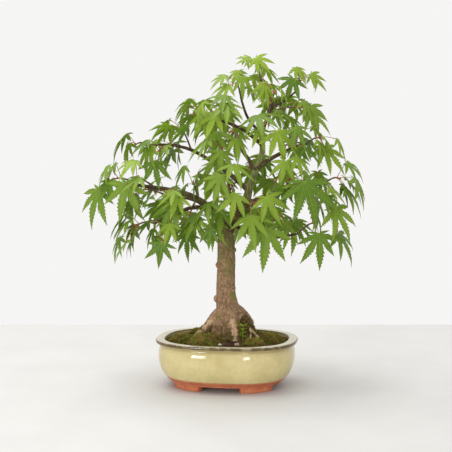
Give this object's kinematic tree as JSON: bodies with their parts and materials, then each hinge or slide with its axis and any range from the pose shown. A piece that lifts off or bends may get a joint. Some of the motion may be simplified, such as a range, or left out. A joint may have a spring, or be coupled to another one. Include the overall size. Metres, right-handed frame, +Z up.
{
  "type": "potted bonsai tree",
  "caption": "Broadleaf bonsai tree with a flared root base, forked branches and lobed leaves, planted in mossy soil in an oval glazed pot on low feet.",
  "frame": {"origin": "under the middle of the whole tree and pot, on the plane that the pot's feet stand on", "axes": "+Z up; +X along the pot's long side, to the right when the tree's front is seen; -Y towards the tree's front"},
  "size_m": [0.3606, 0.2364, 0.4198],
  "materials": {
    "glazed_stoneware": "glossy cream glaze with fine specks over terracotta, which is bare at the feet",
    "screen_plastic": "matt black mesh",
    "wire": "soft bare wire",
    "bark": "fine matt bark",
    "soil": "coarse dark soil",
    "moss": "short dry moss",
    "stone": "rough",
    "seedling": "soft leaf",
    "leaf": "thin satin leaf with raised veins"
  },
  "bodies": {
    "root": {"pot": "glazed_stoneware", "drainage_screen_left": "screen_plastic", "drainage_screen_right": "screen_plastic", "trunk": "bark", "soil": "soil", "moss_left": "moss", "moss_front_left": "moss", "moss_right": "moss", "moss_front_right": "moss", "moss_back_left": "moss", "moss_back_right": "moss", "pebble_pink": "stone", "pebble_white": "stone", "seedling": "seedling", "screen_wire_left": "wire", "screen_wire_right": "wire", "shoot_left_tip": "leaf", "shoot_left_front": "leaf", "shoot_left_middle": "leaf", "shoot_left_low_front": "leaf", "shoot_left_low_end": "leaf", "shoot_left_low_out": "leaf", "shoot_left_back_out": "leaf", "shoot_left_back": "leaf", "shoot_left_back_low": "leaf", "shoot_left_up_end": "leaf", "shoot_left_up_front": "leaf", "shoot_left_up_back": "leaf", "shoot_left_inner": "leaf", "shoot_left_crown": "leaf", "shoot_front_low_left": "leaf", "shoot_front_middle": "leaf", "shoot_front_low_right": "leaf", "shoot_front_upper": "leaf", "shoot_right_front": "leaf", "shoot_right_low_end": "leaf", "shoot_right_low_middle": "leaf", "shoot_right_out": "leaf", "shoot_right_tip": "leaf", "shoot_right_back_out": "leaf", "shoot_right_back_low": "leaf", "shoot_right_back": "leaf", "shoot_right_upper": "leaf", "shoot_right_upper_front": "leaf", "shoot_right_upper_back": "leaf", "shoot_back_low": "leaf", "shoot_back_end": "leaf", "shoot_back_right": "leaf", "shoot_back_upper": "leaf", "shoot_upper_left_end": "leaf", "shoot_upper_left_front": "leaf", "shoot_upper_left_back": "leaf", "shoot_upper_front": "leaf", "shoot_upper_right": "leaf", "shoot_upper_right_back": "leaf", "shoot_upper_middle": "leaf", "shoot_top_left": "leaf", "shoot_top_end": "leaf", "shoot_top_right": "leaf", "shoot_top_back": "leaf"}
  },
  "joints": []
}
